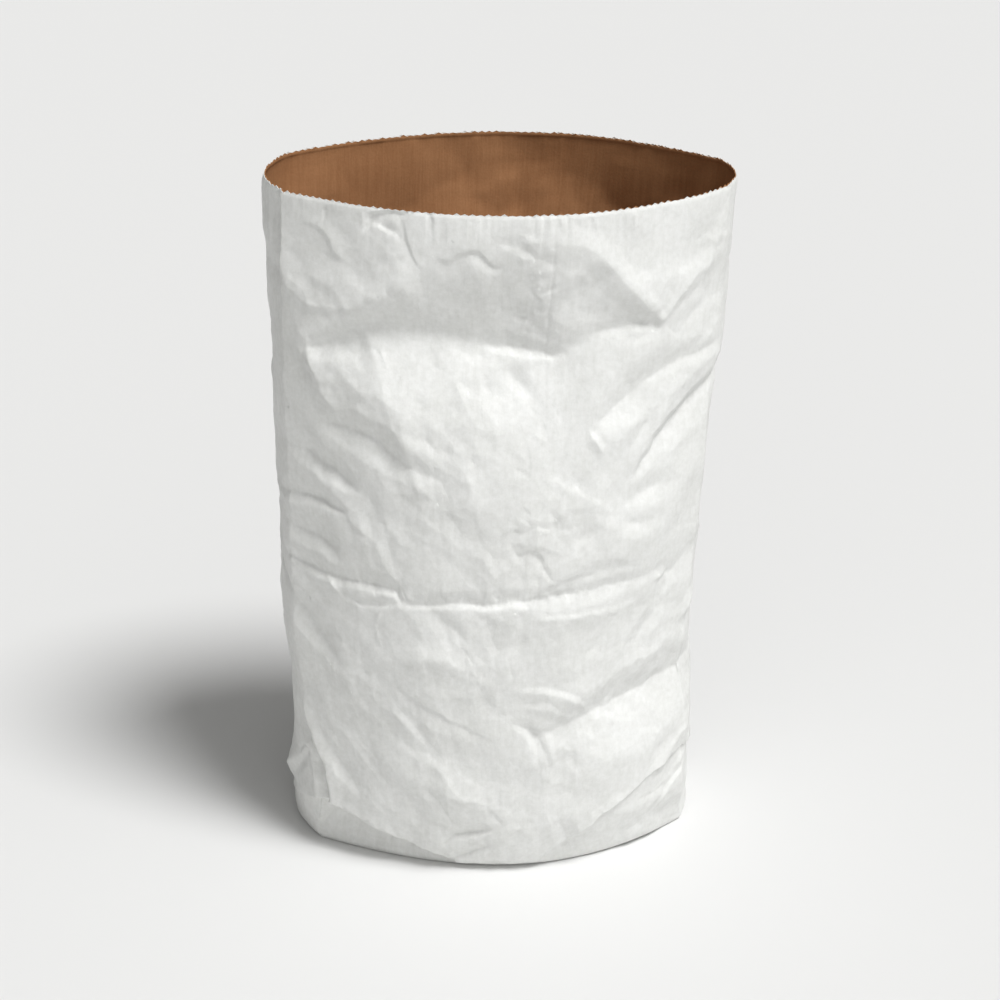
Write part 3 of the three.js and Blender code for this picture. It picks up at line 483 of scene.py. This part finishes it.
def chanceCreases():
    chance = np.random.default_rng(creases["seed"])
    least, most = creases["depth"]
    for _ in range(creases["count"]):
        x, z = chance.uniform(0, wholeTurn), chance.uniform(8, wholeHeight - 4)
        length = chance.uniform(*creases["length"])
        depth = (least + (most - least) * chance.uniform() ** 2) * chance.choice([-1, 1])
        above, below = eitherWay(chance, chance.uniform(*creases["narrow"]), chance.uniform(*creases["wide"]))
        turn = chance.normal(0, 0.5) + chance.choice([0, 0, 0.9, -0.9])
        knees = chance.integers(1, 4)
        rows = [(x, z, depth * 0.1, above * 0.5, below * 0.5)]
        for _ in range(knees):
            turn += chance.normal(0, 0.6)
            x += math.cos(turn) * length / knees
            z += math.sin(turn) * length / knees
            share = chance.uniform(0.6, 1)
            rows.append((x, z, depth * share, above * share, below * share))
        x += math.cos(turn) * length / 3
        z += math.sin(turn) * length / 3
        yield rows + [(x, z, depth * 0.1, above * 0.4, below * 0.4)]


def shipBreaks():
    chance = np.random.default_rng(creases["seed"] + 3)
    for _ in range(creases["shipBreaks"]):
        x = chance.uniform(0, wholeTurn)
        z = creases["shipHeight"] + 6 * abs(math.sin(x / 46)) + chance.normal(0, 2.5)
        lean, long = chance.normal(0, 4), chance.uniform(3, 9)
        depth = chance.uniform(0.2, 0.7) * chance.choice([-1, 1])
        left, right = eitherWay(chance, 1.6, 4.5)
        yield [(x, z + long / 2, depth * 0.2, left * 0.6, right * 0.6),
               (x + lean, z - long / 2, depth, left, right), (x + lean * 1.6, z - long, 0.05, 1, 1)]


seam = {
    "line": 174.5,  # the lap's free edge, in millimetres from the front left corner
    "band": 22,  # the glued strip to the left of it
    "groove": 0.46,
    "shoulder": 0.3,
    "puckers": 46,
    "puckerDepth": (0.20, 0.80),
    "seed": 11,
}


def seamPuckers():
    chance = np.random.default_rng(seam["seed"])
    for _ in range(seam["puckers"]):
        x = seam["line"] - chance.uniform(0, seam["band"])
        z = chance.choice([chance.uniform(335, 415), chance.uniform(335, 415), chance.uniform(200, 335)])
        lean, long = chance.uniform(-5, 5), chance.uniform(6, 18)
        depth = chance.uniform(*seam["puckerDepth"]) * chance.choice([-1, 1])
        yield [(x - long / 2, z - lean, 0.05, 1.5, 1.5), (x, z, depth, 2.0, 5.0),
               (x + long / 2, z + lean, 0.05, 1.5, 1.5)]


def seamLap(around, rise):  # the shallow step at the lap's edge, and the glue's puckers
    high = 0.15 + 0.85 * np.exp(-((rise - 375) / 42) ** 2) + 0.3 * np.exp(-((rise - 225) / 30) ** 2)
    gap = around - seam["line"]
    groove = seam["groove"] * high * np.exp(-(np.abs(gap) / 1.2) ** 1.5)
    shoulder = seam["shoulder"] * high * np.where(gap > 0, np.exp(-gap / 7), 0)
    return groove - shoulder + pressed(around, rise, seamPuckers())


def softWaves(around, rise):
    chance = np.random.default_rng(creases["seed"] + 1)
    total = np.zeros_like(around)
    for _ in range(creases["softWaves"]):
        turns, upright = chance.integers(-16, 17), chance.uniform(-1 / 45, 1 / 45)
        perMillimetre = max(math.hypot(turns / wholeTurn, upright), creases["softLeast"])
        depth = creases["softDepth"] * creases["softLeast"] / perMillimetre
        total += depth * sineWave(around, rise, turns, upright, chance.uniform(0, 2 * math.pi))
    return total / math.sqrt(creases["softWaves"])


def rimStreaks(around, rise):  # short upright lines under the mouth, and its slow wave
    chance = np.random.default_rng(creases["seed"] + 2)
    lines = []
    for _ in range(creases["streaks"]):
        x, long = chance.uniform(0, wholeTurn), chance.uniform(*creases["streakLength"])
        depth = chance.uniform(*creases["streakDepth"]) * chance.choice([-1, 1])
        left, right = eitherWay(chance, chance.uniform(2.5, 5.5), chance.uniform(1.0, 1.8))
        start = wholeHeight - chance.uniform(0, 6)
        lines.append([(x, start, depth, left, right),
                      (x + chance.uniform(-0.6, 0.6), start - long, 0.02, 1.0, 1.0)])
    slow = sum(sineWave(around, rise, turns, 0, chance.uniform(0, 6.3)) / math.sqrt(turns)
               for turns in (5, 8, 13, 19))
    down = np.clip(wholeHeight - rise, 0, None)
    return (pressed(around, rise, lines) + creases["rimEdge"] * np.exp(-down**2)
            + creases["rimWave"] / 1.2 * slow * np.exp(-(down / creases["rimFade"]) ** 2))


def paperPush(around, rise):  # every dent, fold, crease and wave of the paper, millimetres inward
    x, z = strayed(around, rise)
    turned = np.mod(around + 38, wholeTurn) - 38
    return (broadDents(turned, rise) + handFolds(x, z) + pressed(x, z, chanceCreases()) + bottomTuck(x, z)
            + paperFacets(around, rise) + pressed(x, z, shipBreaks()) + seamLap(around, rise)
            + softWaves(around, rise) + rimStreaks(around, rise))


hidden = {  # faces behind the visible one keep clear of its folds, in millimetres
    "reach": 3,
    "rimReach": 1,  # the mouth keeps a thin edge
    "rimBand": 12,
}


def widened(field, reach):  # every place takes the deepest push within reach of it
    for _ in range(reach):
        field = np.maximum(field, np.maximum(np.roll(field, 1, axis=1), np.roll(field, -1, axis=1)))
        field[1:-1] = np.maximum(field[1:-1], np.maximum(field[:-2], field[2:]))
    return field


def deepestPush(around, rise):
    place = np.mod(np.round(around).astype(int), round(wholeTurn))
    level = np.round(rise).astype(int)
    return np.where(rise > wholeHeight - hidden["rimBand"], rimField[level, place], wallField[level, place])


sheetX, sheetZ = np.meshgrid(np.arange(round(wholeTurn)), np.arange(round(wholeHeight) + 1))
shownField = paperPush(sheetX.ravel().astype(float), sheetZ.ravel().astype(float)).reshape(sheetX.shape)
wallField = widened(shownField, hidden["reach"])
rimField = widened(shownField, hidden["rimReach"])
print("folds laid out, deepest", round(shownField.max(), 1), "mm")


def sheetGrid(around, rise, inset, face):
    # places of a grid on one face of a ply; inset is its depth at the mouth and lower down
    x, z = np.meshgrid(around, rise)
    along = plainWall(x + 0.0008, z) - plainWall(x - 0.0008, z)
    upward = plainWall(x, np.minimum(z + 0.001, bag["height"])) - plainWall(x, np.maximum(z - 0.001, 0))
    inward = np.cross(upward, along)
    inward /= np.linalg.norm(inward, axis=-1, keepdims=True)
    push = (paperPush if face == "outside" else deepestPush)(x.ravel() * 1000, z.ravel() * 1000)
    ease = eased(np.clip(z / bag["heelEase"], 0, 1))
    depth = inset[0] + (inset[1] - inset[0]) * eased(np.clip((bag["height"] - z) / bag["rimEase"], 0, 1))
    places = plainWall(x, z) + inward * (push.reshape(x.shape) * 0.001 * ease + depth)[..., None]
    places[z <= 1e-9, 2] = inset[1]
    return places


def placed(name, data):
    made = bpy.data.objects.new(name, data)
    bpy.context.scene.collection.objects.link(made)
    return made


def gathered(items, key):
    values = np.empty(len(items), dtype=np.int32)
    items.foreach_get(key, values)
    return values


class ShellMaker:  # gathers rings of places and bridges them into one closed skin
    def __init__(self):
        self.places = []
        self.faces = []
        self.sheet = []  # place on the unrolled sheet, for the UV map

    def ring(self, places, around, rise):
        start = len(self.places)
        self.places.extend(map(tuple, places))
        self.sheet.extend((place, rise) for place in around)
        return np.arange(start, start + len(places))

    def bridge(self, lower, upper, aroundLower, aroundUpper):
        stopsLower, stopsUpper = (np.append(stops[1:], [stops[0] + bag["round"], 1e9])
                                  for stops in (aroundLower, aroundUpper))
        lower, upper = np.append(lower, lower[0]), np.append(upper, upper[0])
        i = j = 0
        while i < len(aroundLower) or j < len(aroundUpper):
            ahead = stopsLower[i] - stopsUpper[j]
            nextI, nextJ = i + (ahead < 1e-9), j + (ahead > -1e-9)
            self.faces.append((*lower[i:nextI + 1], *upper[j:nextJ + 1][::-1]))
            i, j = nextI, nextJ

    def fan(self, ring, place):
        centre = len(self.places)
        self.places.append(place)
        self.sheet.append((0.1, -0.1))
        self.faces.extend((after, before, centre) for before, after in zip(ring, np.roll(ring, -1)))

    def build(self, name, material):
        mesh = bpy.data.meshes.new(name)
        mesh.from_pydata(self.places, [], self.faces)
        uvMap = mesh.uv_layers.new(name="sheetMap")
        uv = np.array(self.sheet)[gathered(mesh.loops, "vertex_index")]
        high = np.maximum.reduceat(uv[:, 0], gathered(mesh.polygons, "loop_start"))
        crossing = np.repeat(high, gathered(mesh.polygons, "loop_total")) - uv[:, 0] > bag["round"] / 2
        uv[crossing, 0] += bag["round"]  # cells that cross the sheet's end
        uvMap.data.foreach_set("uv", uv.astype(np.float32).ravel())
        mesh.polygons.foreach_set("use_smooth", np.ones(len(mesh.polygons), dtype=bool))
        mesh.materials.append(material)
        mesh.validate()
        mesh.update()
        return placed(name, mesh)


def sheetColumns(frontCells, gussetCells, backCells):
    run, gusset = bag["panelRun"], bag["gussetRun"]
    stops = [0, run, run + gusset, 2 * run + gusset, bag["round"]]
    parts = zip(stops, stops[1:], (frontCells, gussetCells, backCells, gussetCells))
    return np.concatenate([np.linspace(start, end, cells, endpoint=False) for start, end, cells in parts])


def sheetRows(cells):
    # closer steps round the heel and the bottom fold, and at the cut edge
    heel = np.array([0, 0.0008, 0.002, 0.0035, 0.0052])
    foot = np.linspace(0.007, 0.070, round(cells * 0.24), endpoint=False)
    wall = np.linspace(0.070, bag["height"] - 0.003, round(cells * 0.76), endpoint=False)
    edge = bag["height"] - np.array([0.003, 0.0021, 0.0014, 0.0008, 0.0003, 0])
    return np.concatenate([heel, foot, wall, edge])


underside = {  # a flap laid over another, and tucked corners
    "flapEdge": 0.029, "flapStep": 0.0006,
    "tuckEdge": 0.052, "tuckSlant": 0.35, "tuckStep": 0.0003,
    "ramp": 0.012,
}


def undersideRelief(x, y):
    flap = (y - underside["flapEdge"]) / underside["ramp"]
    tuck = (np.abs(x) - underside["tuckEdge"] - underside["tuckSlant"] * np.abs(y)) / underside["ramp"]
    return np.maximum(underside["flapStep"] * eased(np.clip(flap, 0, 1)),
                      underside["tuckStep"] * eased(np.clip(tuck, 0, 1)))


def plyShell(name, material, ply):
    shell = ShellMaker()
    fine, coarse = sheetColumns(*ply["cells"]), sheetColumns(*ply["coarseCells"])
    wall = [(fine, rise) for rise in sheetRows(ply["rows"])]
    back = [(coarse, rise) for rise in sheetRows(ply["coarseRows"])[:-2]]
    back += [(fine, bag["height"] - 0.0025), (fine, bag["height"])]
    skins = [(ply["shown"], wall, ply["shownInset"]), ("hidden", back, ply["hiddenInset"])]
    if ply["shown"] == "inside":
        skins.reverse()
    rims = []
    for face, rows, inset in skins:
        rings, grids = [], []
        for columns in (coarse, fine):  # rows with the same columns are worked out together
            same = [rise for around, rise in rows if around is columns]
            if same:
                grids += zip([columns] * len(same), same, sheetGrid(columns, np.array(same), inset, face))
        grids.sort(key=lambda grid: grid[1])
        footAround, _, footRing = grids[0]
        foot = footRing[np.clip(np.searchsorted(footAround, coarse - 1e-7), 0, len(footAround) - 1)]
        for share in np.linspace(0.12, 0.985, 14):
            flat = foot * share
            flat[:, 2] = inset[1]
            if face == "outside":
                flat[:, 2] = undersideRelief(flat[:, 0], flat[:, 1]) * min(1, (1 - share) * 12)
            rings.append((shell.ring(flat, coarse, -0.1 * (1 - share)), coarse))
        firstFace = len(shell.faces)
        shell.fan(rings[0][0], (0, 0, inset[1]))
        for around, rise, places in grids:
            rings.append((shell.ring(places, around, rise), around))
        for (lower, lowAround), (upper, upAround) in zip(rings, rings[1:]):
            shell.bridge(lower, upper, lowAround, upAround)
        if rims:  # the second skin faces inward
            shell.faces[firstFace:] = [tuple(reversed(f)) for f in shell.faces[firstFace:]]
        rims.append(rings[-1])
    (outerRim, outerAround), (innerRim, innerAround) = rims
    shell.bridge(outerRim, innerRim, outerAround, innerAround)
    return shell.build(name, material)


def settled(piece):  # a piece's modifiers turned into a plain mesh
    evaluated = piece.evaluated_get(bpy.context.evaluated_depsgraph_get())
    plain = bpy.data.meshes.new_from_object(evaluated)
    piece.modifiers.clear()
    piece.data = plain


def thinned(piece, most):  # at most so many triangles, fewest where the paper is flat
    thin = piece.modifiers.new("thin", "DECIMATE")
    thin.ratio = most / sum(len(face.vertices) - 2 for face in piece.data.polygons)
    thin.use_collapse_triangulate = True
    settled(piece)


def slivers(net, area):  # the shortest edge of every tiny face that lies against its neighbours
    short = set()
    for face in net.faces:
        if face.calc_area() < area:
            beside = Vector()
            for edge in face.edges:
                for other in edge.link_faces:
                    beside += other.normal * other.calc_area() * (other is not face)
            if face.normal.dot(beside) <= 0:
                short.add(min(face.edges, key=lambda edge: edge.calc_length()))
    return list(short)


def smoothedOut(piece, area, passes):  # thinning folds a few slivers over, which would show as specks
    net = bmesh.new()
    net.from_mesh(piece.data)
    for _ in range(passes):
        net.normal_update()
        bmesh.ops.collapse(net, edges=slivers(net, area), uvs=True)
    net.normal_update()
    print("slivers left", len(slivers(net, area)))
    net.to_mesh(piece.data)
    net.free()


class Wire:  # one socket of a shader, with sums written as sums
    def __init__(self, maker, socket):
        self.maker, self.socket = maker, socket

    def sum(self, operation, first, second):
        return self.maker.node("ShaderNodeMath", {0: first, 1: second}, 0, operation=operation)

    def __add__(self, other):
        return self.sum("ADD", self, other)

    def __radd__(self, other):
        return self.sum("ADD", other, self)

    def __sub__(self, other):
        return self.sum("SUBTRACT", self, other)

    def __rsub__(self, other):
        return self.sum("SUBTRACT", other, self)

    def __mul__(self, other):
        return self.sum("MULTIPLY", self, other)

    def __rmul__(self, other):
        return self.sum("MULTIPLY", other, self)

    def __pow__(self, other):
        return self.sum("POWER", self, other)


class Finish:  # a material and its nodes
    def __init__(self, name):
        self.material = bpy.data.materials.new(name)
        self.material.use_nodes = True
        self.tree = self.material.node_tree
        self.tree.nodes.clear()

    def node(self, kind, values, output, stops=(), **settings):
        made = self.tree.nodes.new(kind)
        for key, value in settings.items():
            setattr(made, key, value)
        for stop, (at, colour) in zip(made.color_ramp.elements if stops else (), stops):
            stop.position = at
            stop.color = (*colour, 1)
        for key, value in values.items():
            if isinstance(value, Wire):
                self.tree.links.new(value.socket, made.inputs[key])
            else:
                made.inputs[key].default_value = value
        if output is not None:
            return Wire(self, made.outputs[output])

    def surface(self, **values):
        shader = self.node("ShaderNodeBsdfPrincipled", {
            key.replace("_", " "): value for key, value in values.items()}, "BSDF")
        self.node("ShaderNodeOutputMaterial", {"Surface": shader}, None)
        return self.material


bleached = {
    "light": (0.85, 0.855, 0.84),
    "shade": (0.735, 0.74, 0.715),
    "stops": (0.25, 0.75),  # where the colour is all shade and all light
    "toneShift": -0.45,
    "roughness": 0.45,
    "specular": 0.35,
    "stretch": 0.12,  # of the fibres that run up the sheet
    "bump": (0.22, 0.0007),
    # scale, detail, roughness, shares in the tone, the height and the sheen
    "cloud": (22.0, 5.0, 0.6, 0.6, 0, 0.14),
    "grain": (900, 3.0, 0.5, 0.25, 0.22, 0),
    "streak": (420.0, 3.0, 0.5, 0.35, 0.18, 0),
    "cockle": (160, 4.0, 0.55, 0, 0.6, 0),
    "fleck": (300, 3.0, 0.5, 0.7, 0, 0),
    "crinkles": [(60, 1.7), (150, 0.5)],  # patches to the metre, height
}

kraft = {
    "light": (0.48, 0.245, 0.115),
    "shade": (0.33, 0.15, 0.062),
    "stops": (0.2, 0.8),
    "toneShift": -0.18,
    "roughness": 0.73,
    "specular": 0.25,
    "stretch": 0.06,
    "bump": (0.3, 0.0006),
    "cloud": (30.0, 5.0, 0.65, 0.5, 0, 0),
    "grain": (700, 4.0, 0.5, 0.35, 0.5, 0.1),
    "streak": (520.0, 3.0, 0.5, 0.5, 0.5, 0),
    "crinkles": [],
}


def paperFinish(name, paper):
    finish = Finish(name)
    place = finish.node("ShaderNodeTexCoord", {}, "Object")
    sheet = finish.node("ShaderNodeUVMap", {}, "UV", uv_map="sheetMap")
    along = finish.node("ShaderNodeMapping", {"Vector": sheet, "Scale": (1, paper["stretch"], 1)}, "Vector")
    sums = [paper["toneShift"], 0.0, paper["roughness"]]
    for kind in ("cloud", "grain", "streak", "cockle", "fleck"):
        if kind not in paper:
            continue
        scale, detail, roughness, *shares = paper[kind]
        noise = finish.node("ShaderNodeTexNoise", {
            "Vector": along if kind == "streak" else place, "Scale": scale, "Detail": detail,
            "Roughness": roughness}, "Fac")
        sums = [total + noise * share if share else total for total, share in zip(sums, shares)]
    tone, height, sheen = sums
    for scale, rise in paper["crinkles"]:  # flat patches finer than the mesh's own
        shifted = [finish.node("ShaderNodeMapping", {"Vector": sheet, "Location": (shift, 0, 0)}, "Vector")
                   for shift in (3, 7)]
        first, second = (finish.node("ShaderNodeTexVoronoi", {"Vector": vector, "Scale": scale}, "Distance",
                                     voronoi_dimensions="2D") for vector in shifted)
        height = height + (first**2.0 - second**2.0) * rise
    shadeStop, lightStop = paper["stops"]
    colour = finish.node("ShaderNodeValToRGB", {"Fac": tone}, "Color",
                         stops=[(shadeStop, paper["shade"]), (lightStop, paper["light"])])
    strength, distance = paper["bump"]
    bump = finish.node("ShaderNodeBump", {
        "Height": height, "Strength": strength, "Distance": distance}, "Normal")
    return finish.surface(Base_Color=colour, Roughness=sheen, Normal=bump,
                          Specular_IOR_Level=paper["specular"])


bleachedMaterial = paperFinish("bleachedPaper", bleached)
brownMaterial = paperFinish("brownKraftPaper", kraft)
print("papers mixed")

outerPly = {
    "cells": (400, 48, 130), "rows": 400,
    "coarseCells": (72, 18, 60), "coarseRows": 96,
    "shownInset": (0.0, 0.0), "hiddenInset": (0.00035, 0.00045),  # at the mouth and below it
    "shown": "outside",
    "toothInset": 0.00018,
    "most": 196000,  # triangles
    "sliverArea": 0.4e-6, "sliverPasses": 4,
}
outerSack = plyShell("outer_sack", bleachedMaterial, outerPly)
thinned(outerSack, outerPly["most"])
smoothedOut(outerSack, outerPly["sliverArea"], outerPly["sliverPasses"])
print("outer ply made", len(outerSack.data.polygons), "faces")

innerPly = {
    "cells": (120, 28, 110), "rows": 160,
    "coarseCells": (72, 18, 60), "coarseRows": 96,
    "shownInset": (0.00090, 0.0018), "hiddenInset": (0.00055, 0.0009),
    "shown": "inside",
    "toothInset": 0.00073,
}
innerSack = plyShell("inner_sack", brownMaterial, innerPly)
print("inner ply made", len(innerSack.data.polygons), "faces")

mouth = {
    "Pitch": 0.0045,  # from tooth to tooth
    "Tooth Height": 0.0009,
    "Thickness": 0.00034,
    "seed": 5,
    "stretch": (0.35, 1.5),  # shortest and longest tooth, in tooth heights
    "cells": (196, 30, 140),
}


def toothTree():
    tree = bpy.data.node_groups.new("mouthTeeth", "GeometryNodeTree")
    for name, kind in (("Mouth", "Geometry"), ("Pitch", "Float"), ("Tooth Height", "Float"),
                       ("Thickness", "Float"), ("Seed", "Int"), ("Paper", "Material")):
        tree.interface.new_socket(name, in_out="INPUT", socket_type="NodeSocket" + kind)
    tree.interface.new_socket("Teeth", in_out="OUTPUT", socket_type="NodeSocketGeometry")

    def add(kind, settings=None, **links):
        node = tree.nodes.new(kind)
        for key, value in (settings or {}).items():
            setattr(node, key, value)
        for key, value in links.items():
            socket = node.inputs[key]
            if isinstance(value, bpy.types.NodeSocket):
                tree.links.new(value, socket)
            else:
                socket.default_value = value
        return node

    def divided(value, by):
        node = add("ShaderNodeMath", {"operation": "DIVIDE"})
        tree.links.new(value, node.inputs[0])
        node.inputs[1].default_value = by
        return node.outputs[0]

    given = tree.nodes.new("NodeGroupInput").outputs
    curve = add("GeometryNodeMeshToCurve", Mesh=given["Mouth"]).outputs[0]
    points = add("GeometryNodeResampleCurve", {"mode": "LENGTH"}, Curve=curve, Length=given["Pitch"])
    wedge = add("GeometryNodeMeshCylinder", {"fill_type": "NGON"}, Vertices=3, Radius=1.0,
                Depth=given["Thickness"])
    # the wedge's apex lies 1.5 radii from its base, and the base is the root of 3 wide
    size = add("ShaderNodeCombineXYZ", X=divided(given["Tooth Height"], 1.5),
               Y=divided(given["Pitch"], math.sqrt(3)), Z=1.0)
    lift = add("ShaderNodeCombineXYZ", Z=divided(given["Tooth Height"], 3.3))
    stand = Matrix(((0, 1, 0), (0, 0, 1), (1, 0, 0))).to_euler()  # apex up, base along X
    tooth = add("GeometryNodeTransform", Geometry=wedge.outputs[0], Scale=size.outputs[0],
                Translation=lift.outputs[0], Rotation=tuple(stand))
    along = add("GeometryNodeInputTangent").outputs[0]
    faced = add("FunctionNodeAlignRotationToVector", {"axis": "X", "pivot_axis": "Z"}, Vector=along)
    chance = add("FunctionNodeRandomValue", {"data_type": "FLOAT"}, Seed=given["Seed"])
    chance.inputs[2].default_value, chance.inputs[3].default_value = mouth["stretch"]
    stretch = add("ShaderNodeCombineXYZ", X=1.0, Y=1.0, Z=chance.outputs[1])
    row = add("GeometryNodeInstanceOnPoints", Points=points.outputs[0], Instance=tooth.outputs[0],
              Rotation=faced.outputs[0], Scale=stretch.outputs[0]).outputs[0]
    solid = add("GeometryNodeRealizeInstances", Geometry=row).outputs[0]
    painted = add("GeometryNodeSetMaterial", Geometry=solid, Material=given["Paper"]).outputs[0]
    tree.links.new(painted, tree.nodes.new("NodeGroupOutput").inputs[0])
    return tree


def mouthTeeth(name, material, ply, seed):
    inset = (ply["toothInset"], ply["toothInset"])
    places = sheetGrid(sheetColumns(*mouth["cells"]), np.array([bag["height"]]), inset, ply["shown"])[0]
    count = len(places)
    loop = bpy.data.meshes.new(name)
    loop.from_pydata([tuple(place) for place in places], [(i, (i + 1) % count) for i in range(count)], [])
    teeth = placed(name, loop)
    row = teeth.modifiers.new("teeth", "NODES")
    row.node_group = toothRow
    values = {**mouth, "Seed": seed, "Paper": material}
    for item in toothRow.interface.items_tree:
        if item.in_out == "INPUT" and item.name in values:
            row[item.identifier] = values[item.name]
    settled(teeth)
    return teeth


toothRow = toothTree()
outerTeeth = mouthTeeth("outer_mouth_teeth", bleachedMaterial, outerPly, mouth["seed"])
innerTeeth = mouthTeeth("inner_mouth_teeth", brownMaterial, innerPly, mouth["seed"] + 1)
print("mouth cut in teeth", len(outerTeeth.data.polygons))

for pieces, node, slot in (((outerSack, outerTeeth), "outer_ply", "bleached_paper"),
                           ((innerSack, innerTeeth), "inner_ply", "brown_paper")):
    for piece in pieces:
        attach(piece, "root")
        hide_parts(node)

studio = {
    "floor": (0.75, 0.75, 0.745),
    "world": (1.0, 0.995, 0.96),
    "worldStrength": 0.14,
    # degrees to the right of the front, degrees up, power, softness in degrees
    "lights": {"keyLight": (50, 64, 2.72, 20), "fillLight": (20, 44, 0.84, 90)},
}


def direction(turn, rise):  # degrees to the right of the front, degrees up
    turn, rise = math.radians(turn), math.radians(rise)
    return Vector((math.sin(turn) * math.cos(rise), -math.cos(turn) * math.cos(rise), math.sin(rise)))


for name, (turn, rise, power, softness) in studio["lights"].items():
    light = bpy.data.lights.new(name, "SUN")
    light.energy = power
    light.angle = math.radians(softness)
    lamp = placed(name, light)
    lamp.location = direction(turn, rise) * 3
    lamp.rotation_euler = direction(turn, rise).to_track_quat("Z", "Y").to_euler()

floorMesh = bpy.data.meshes.new("floor")
floorMesh.from_pydata([(-6, -4, 0), (6, -4, 0), (6, 8, 0), (-6, 8, 0)], [], [(0, 1, 2, 3)])
floorMesh.materials.append(Finish("floorPaint").surface(
    Base_Color=(*studio["floor"], 1), Roughness=0.9, Specular_IOR_Level=0.1))
floor = placed("floor", floorMesh)

world = bpy.data.worlds.new("studioWorld")
world.use_nodes = True
background = world.node_tree.nodes["Background"].inputs
background["Color"].default_value = (*studio["world"], 1)
background["Strength"].default_value = studio["worldStrength"]
bpy.context.scene.world = world
bpy.context.scene.view_settings.view_transform = "Standard"

view = {"turn": -1.8, "elevation": 24.3, "distance": 1.6, "aim": (0.0001, 0.0, 0.214), "lens": 92.66}
towards = direction(view["turn"], view["elevation"])
cameraData = bpy.data.cameras.new("photoCamera")
cameraData.lens = view["lens"]
cameraData.sensor_width = 36
camera = placed("photoCamera", cameraData)
camera.location = Vector(view["aim"]) + towards * view["distance"]
camera.rotation_euler = (-towards).to_track_quat("-Z", "Y").to_euler()
bpy.context.scene.camera = camera
print("studio and camera set")
